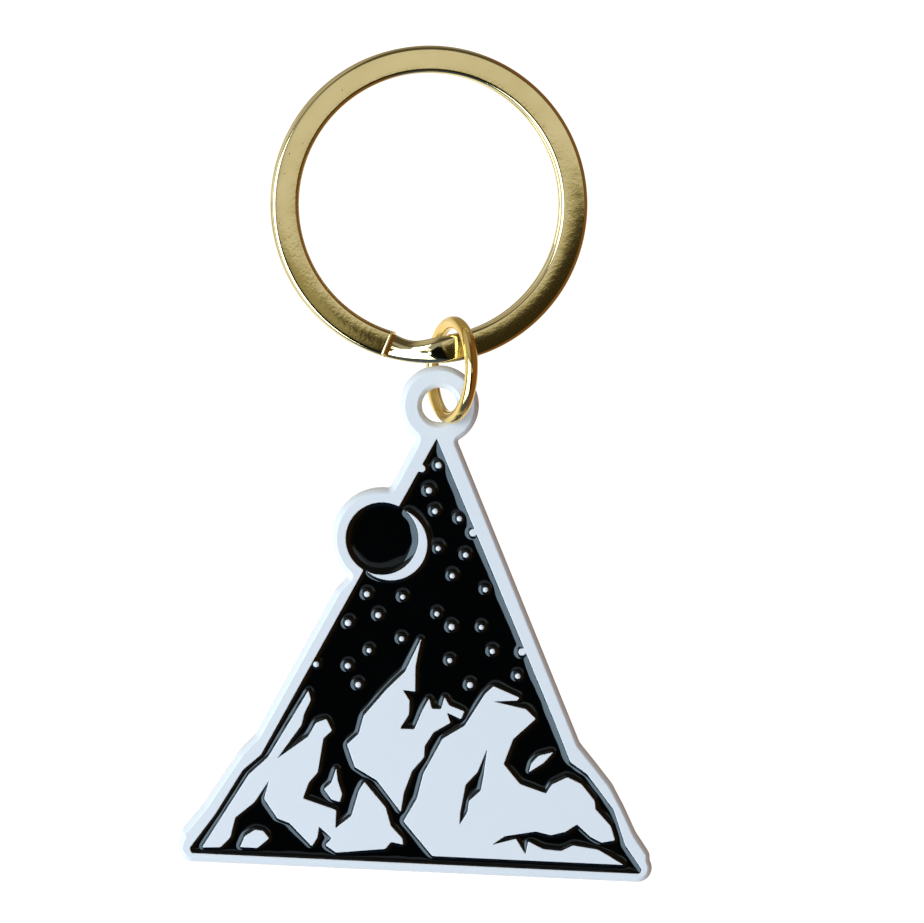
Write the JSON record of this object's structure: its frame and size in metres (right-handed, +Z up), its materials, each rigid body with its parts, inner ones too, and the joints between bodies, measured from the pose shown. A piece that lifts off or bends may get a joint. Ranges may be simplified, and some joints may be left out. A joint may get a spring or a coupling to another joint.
{
  "type": "enamelled keychain",
  "caption": "Triangular white metal tag with black enamel night-sky and mountain artwork, hung from a gold split key ring by a round gold jump ring.",
  "frame": {"origin": "the point inside the top of the split ring where a hook holds it, straight above the tag's eyelet and midway through the ring's thickness", "axes": "+Z up along the hanging keychain, the enamelled face towards -Y, +X to the right of someone facing it"},
  "size_m": [0.0465, 0.0097, 0.0804],
  "materials": {
    "gold_ring": "bright gold plate on flat spring wire",
    "gold_wire": "bright gold plate on round wire",
    "white_metal": "satin white dyed metal",
    "black_enamel": "glossy soft enamel"
  },
  "bodies": {
    "key_ring": {"split_ring": "gold_ring"},
    "connector": {"jump_ring": "gold_wire"},
    "tag": {"tag_base": "white_metal", "enamel_sky": "black_enamel", "enamel_crevice": "black_enamel"}
  },
  "joints": [
    {"name": "connector_swing", "type": "hinge", "parent": "key_ring", "child": "connector", "pos_m": [0.00097, 0.00023, -0.02616], "axis": [0.9746, 0.0767, 0.2103], "range_deg": [-90, 90]},
    {"name": "tag_swing", "type": "hinge", "parent": "connector", "child": "tag", "pos_m": [0, 0.0014, -0.03182], "axis": [0, 1, 0], "range_deg": [-90, 75]}
  ]
}
